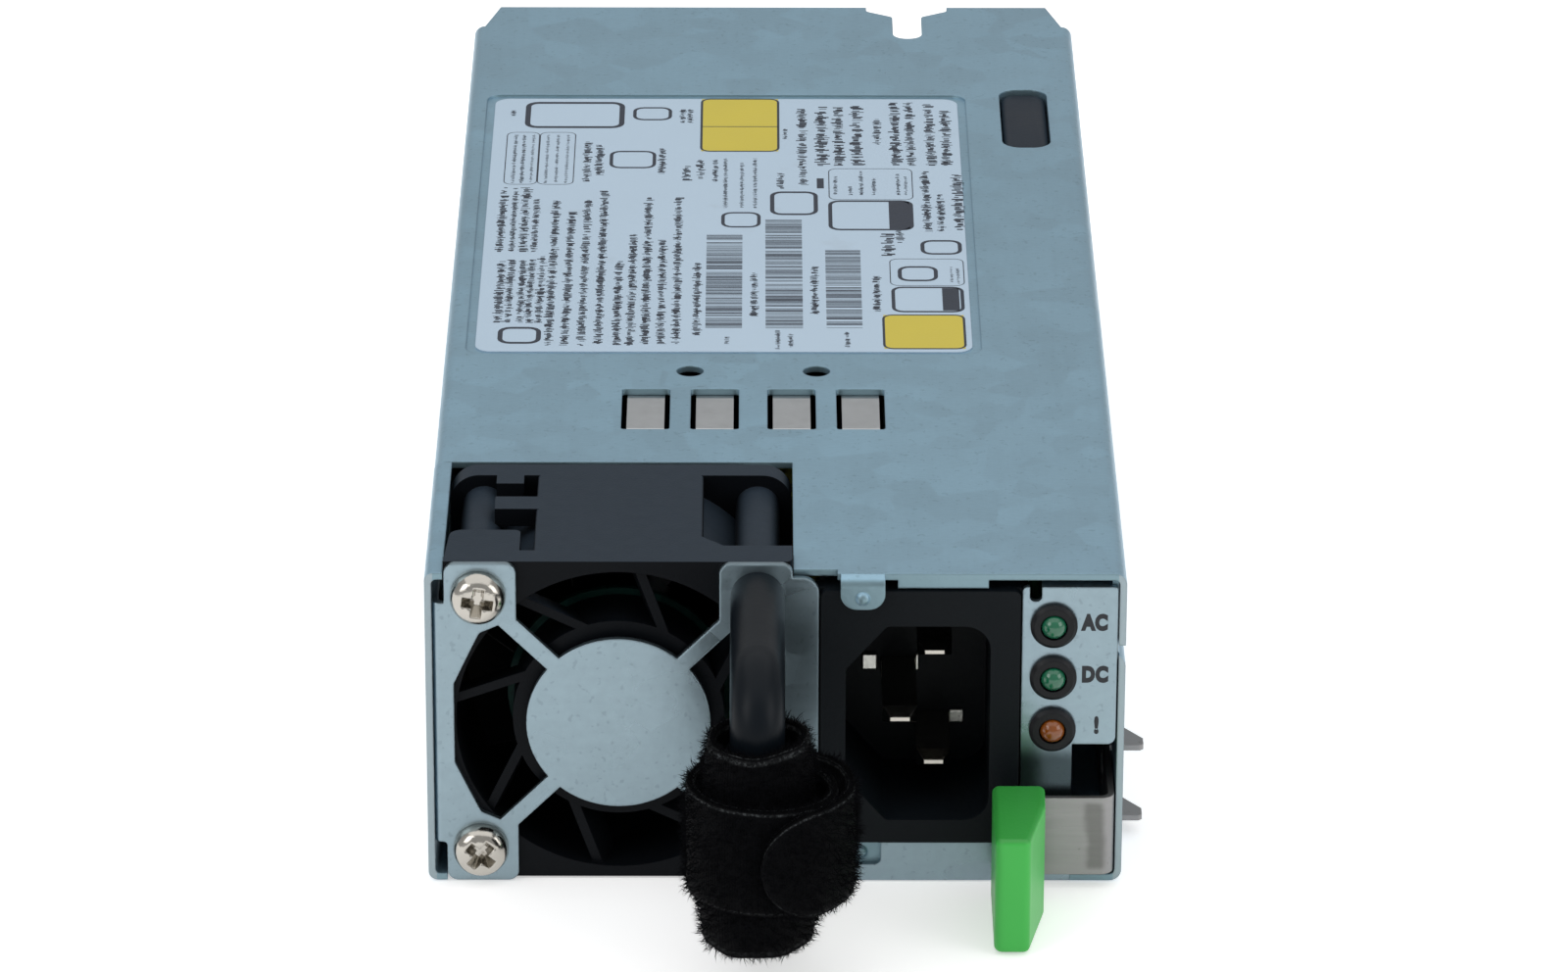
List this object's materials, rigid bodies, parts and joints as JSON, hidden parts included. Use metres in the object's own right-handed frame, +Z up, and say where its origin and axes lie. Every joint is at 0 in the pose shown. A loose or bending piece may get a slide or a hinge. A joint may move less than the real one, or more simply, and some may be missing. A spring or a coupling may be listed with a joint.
{
  "type": "server power supply",
  "caption": "Hot swap power supply for a server: steel case with front fan, bar handle, cable strap, mains inlet, signal lamps, sprung bay latch and rear card edge.",
  "frame": {"origin": "centre of the underside of the case, half way along its length", "axes": "+X to the right seen from the front, +Y from the front plate to the card edge, +Z up"},
  "size_m": [0.0834, 0.2236, 0.0401],
  "materials": {
    "galvanised_steel": "satin zinc coat",
    "spring_steel": "rolled stainless",
    "nickel": "bright nickel",
    "label": "satin white film",
    "black_moulding": "satin black",
    "motor_metal": "bare",
    "magnet": "sintered",
    "green_board": "solder mask",
    "gold": "plated",
    "bar_steel": "zinc coat",
    "black_sleeve": "glossy black",
    "strap": "black hook and loop tape",
    "green_grip": "satin green",
    "black_collar": "satin black",
    "green_lens": "clear green",
    "amber_lens": "clear amber",
    "black_insulation": "matt",
    "black_film": "satin film",
    "copper": "enamelled copper",
    "box_capacitor": "potted box",
    "black_component": "moulded",
    "aluminium_can": "sleeved can",
    "aluminium": "extruded",
    "ferrite": "ground",
    "tape": "polyester tape"
  },
  "bodies": {
    "root": {"chassis": "galvanised_steel", "cover": "galvanised_steel", "face_plate": "galvanised_steel", "rear_grille": "galvanised_steel", "rating_label": "label", "case_screws": "nickel", "grounding_springs": "spring_steel", "fan_frame": "black_moulding", "fan_bearings": "motor_metal", "fan_stator": "motor_metal", "fan_board": "green_board", "fan_screws": "nickel", "fan_lead": "black_insulation", "fan_plug": "black_component", "handle_core": "bar_steel", "handle_sleeve": "black_sleeve", "handle_screws": "nickel", "latch_rivets": "spring_steel", "inlet_housing": "black_moulding", "inlet_line_pin": "nickel", "inlet_neutral_pin": "nickel", "inlet_earth_pin": "nickel", "inlet_leads": "black_insulation", "led_board": "green_board", "led_bezels": "black_collar", "green_lamps": "green_lens", "amber_lamp": "amber_lens", "main_board": "green_board", "edge_contacts": "gold", "floor_film": "black_film", "roof_film": "black_film", "standoffs": "nickel", "board_screws": "nickel", "filter_chokes": "copper", "film_capacitors": "box_capacitor", "fuse": "black_component", "relay": "black_component", "bulk_capacitors": "aluminium_can", "pfc_choke": "copper", "primary_heatsink": "aluminium", "power_transistors": "black_component", "transformer_core": "ferrite", "transformer_winding": "tape", "output_capacitors": "aluminium_can", "bus_bar": "copper", "control_board": "green_board"},
    "fan_rotor": {"impeller": "black_moulding", "rotor_yoke": "motor_metal", "rotor_magnet": "magnet", "fan_shaft": "motor_metal"},
    "strap": {"cable_strap": "strap"},
    "latch": {"latch_lever": "spring_steel", "latch_grip": "green_grip"}
  },
  "joints": [
    {"name": "fan_spin", "type": "hinge", "parent": "root", "child": "fan_rotor", "pos_m": [-0.01807, -0.07585, 0.0201], "axis": [0, 1, 0], "continuous": true},
    {"name": "latch_press", "type": "hinge", "parent": "root", "child": "latch", "pos_m": [0.0392, -0.00885, 0.0065], "axis": [0, 0, 1], "range_deg": [-2.6, 0], "stiffness_Nm_per_rad": 8},
    {"name": "strap_swivel", "type": "hinge", "parent": "root", "child": "strap", "pos_m": [-0.00207, -0.11985, 0.0194], "axis": [0, 0, 1], "continuous": true}
  ]
}
